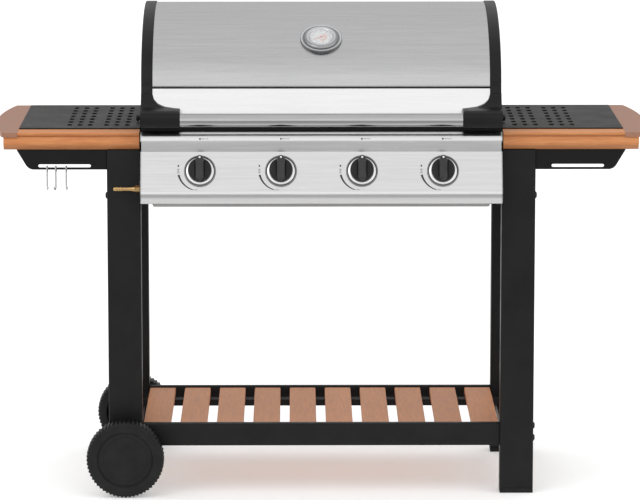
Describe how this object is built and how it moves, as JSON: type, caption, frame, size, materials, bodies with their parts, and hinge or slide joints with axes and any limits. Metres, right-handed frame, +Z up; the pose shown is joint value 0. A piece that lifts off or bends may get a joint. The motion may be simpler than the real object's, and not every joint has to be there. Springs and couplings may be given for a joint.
{
  "type": "gas barbecue grill",
  "caption": "Gas barbecue grill on a wheeled cart: hooded firebox with grates and burners, knob panel, wooden side shelves with perforated inserts, hooks and a slatted lower shelf.",
  "frame": {"origin": "centre of the whole object's box, at the surface that the feet and wheels stand on", "axes": "+X to the cook's right along the side shelves, -Y towards the cook, +Z up"},
  "size_m": [1.372, 0.5766, 1.009],
  "materials": {
    "black_steel": "fine satin black powder coat",
    "stainless": "lengthwise brushed stainless steel",
    "chrome": "polished plate",
    "zinc_sheet": "dull galvanised sheet",
    "wire_steel": "bright zinc plate",
    "cast_iron": "matt enamelled iron",
    "black_plastic": "fine-grained moulded plastic",
    "wood": "red-brown oiled hardwood with open grain",
    "brass": "machined brass",
    "needle_red": "painted red",
    "dark_insert": "dark grey textured coat"
  },
  "bodies": {
    "cart": {"post_front_left": "black_steel", "post_front_right": "black_steel", "post_rear_left": "black_steel", "post_rear_right": "black_steel", "foot_cap_front": "black_plastic", "foot_cap_rear": "black_plastic", "lower_rail_front": "black_steel", "lower_rail_rear": "black_steel", "side_rail_left": "black_steel", "side_rail_right": "black_steel", "slat_rack": "wood", "axle": "wire_steel", "shelf_front_rail_left": "wood", "shelf_front_rail_right": "wood", "shelf_outer_board_left": "wood", "shelf_outer_board_right": "wood", "shelf_rear_rail_left": "wood", "shelf_rear_rail_right": "wood", "shelf_insert_left": "dark_insert", "shelf_insert_right": "dark_insert", "shelf_bracket_left": "black_steel", "shelf_bracket_right": "black_steel", "control_panel": "stainless", "bezel_1": "chrome", "bezel_2": "chrome", "bezel_3": "chrome", "bezel_4": "chrome", "gas_manifold": "brass", "hose_barb": "brass", "firebox": "black_steel", "burner_1": "zinc_sheet", "burner_2": "zinc_sheet", "burner_3": "zinc_sheet", "burner_4": "zinc_sheet", "flame_tamer": "zinc_sheet", "cooking_grate_left": "cast_iron", "cooking_grate_right": "cast_iron", "warming_rack": "chrome", "hinge_pin_left": "wire_steel", "hinge_pin_right": "wire_steel"},
    "lid": {"lid_skin": "stainless", "lid_end_cap_left": "black_steel", "lid_end_cap_right": "black_steel", "lid_handle": "chrome", "thermometer_case": "chrome"},
    "needle": {"thermometer_needle": "needle_red"},
    "wheel_front": {"wheel_front": "black_plastic"},
    "wheel_rear": {"wheel_rear": "black_plastic"},
    "hook_1": {"hook_1": "wire_steel"},
    "hook_2": {"hook_2": "wire_steel"},
    "hook_3": {"hook_3": "wire_steel"},
    "stem_1": {"valve_stem_1": "brass"},
    "stem_2": {"valve_stem_2": "brass"},
    "stem_3": {"valve_stem_3": "brass"},
    "stem_4": {"valve_stem_4": "brass"},
    "knob_1": {"knob_1": "black_plastic"},
    "knob_2": {"knob_2": "black_plastic"},
    "knob_3": {"knob_3": "black_plastic"},
    "knob_4": {"knob_4": "black_plastic"},
    "grease_tray": {"grease_tray": "zinc_sheet"}
  },
  "joints": [
    {"name": "lid_hinge", "type": "hinge", "parent": "cart", "child": "lid", "pos_m": [0, 0.2543, 0.77], "axis": [-1, 0, 0], "range_deg": [0, 85]},
    {"name": "needle_turn", "type": "hinge", "parent": "lid", "child": "needle", "pos_m": [0, -0.1277, 0.95131], "axis": [0, 0.5521, -0.8338], "range_deg": [0, 240]},
    {"name": "wheel_front_spin", "type": "hinge", "parent": "cart", "child": "wheel_front", "pos_m": [-0.41, -0.2227, 0.081], "axis": [0, 1, 0], "continuous": true},
    {"name": "wheel_rear_spin", "type": "hinge", "parent": "cart", "child": "wheel_rear", "pos_m": [-0.41, 0.2683, 0.081], "axis": [0, 1, 0], "continuous": true},
    {"name": "hook_1_swing", "type": "hinge", "parent": "cart", "child": "hook_1", "pos_m": [-0.5687, -0.1912, 0.6925], "axis": [1, 0, 0], "range_deg": [-15, 15]},
    {"name": "hook_2_swing", "type": "hinge", "parent": "cart", "child": "hook_2", "pos_m": [-0.5506, -0.1912, 0.6925], "axis": [1, 0, 0], "range_deg": [-15, 15]},
    {"name": "hook_3_swing", "type": "hinge", "parent": "cart", "child": "hook_3", "pos_m": [-0.5292, -0.1912, 0.6925], "axis": [1, 0, 0], "range_deg": [-15, 15]},
    {"name": "knob_1_push", "type": "slide", "parent": "cart", "child": "stem_1", "axis": [0, 0.9304, -0.3665], "range_m": [0, 0.004], "stiffness_N_per_m": 2000, "springref_m": -0.004},
    {"name": "knob_2_push", "type": "slide", "parent": "cart", "child": "stem_2", "axis": [0, 0.9304, -0.3665], "range_m": [0, 0.004], "stiffness_N_per_m": 2000, "springref_m": -0.004},
    {"name": "knob_3_push", "type": "slide", "parent": "cart", "child": "stem_3", "axis": [0, 0.9304, -0.3665], "range_m": [0, 0.004], "stiffness_N_per_m": 2000, "springref_m": -0.004},
    {"name": "knob_4_push", "type": "slide", "parent": "cart", "child": "stem_4", "axis": [0, 0.9304, -0.3665], "range_m": [0, 0.004], "stiffness_N_per_m": 2000, "springref_m": -0.004},
    {"name": "knob_1_turn", "type": "hinge", "parent": "stem_1", "child": "knob_1", "pos_m": [-0.2505, -0.2477, 0.6915], "axis": [0, -0.9304, 0.3665], "range_deg": [0, 175]},
    {"name": "knob_2_turn", "type": "hinge", "parent": "stem_2", "child": "knob_2", "pos_m": [-0.0835, -0.2477, 0.6915], "axis": [0, -0.9304, 0.3665], "range_deg": [0, 175]},
    {"name": "knob_3_turn", "type": "hinge", "parent": "stem_3", "child": "knob_3", "pos_m": [0.0835, -0.2477, 0.6915], "axis": [0, -0.9304, 0.3665], "range_deg": [0, 175]},
    {"name": "knob_4_turn", "type": "hinge", "parent": "stem_4", "child": "knob_4", "pos_m": [0.2505, -0.2477, 0.6915], "axis": [0, -0.9304, 0.3665], "range_deg": [0, 175]},
    {"name": "grease_tray_slide", "type": "slide", "parent": "cart", "child": "grease_tray", "axis": [0, -1, 0], "range_m": [0, 0.3]}
  ]
}
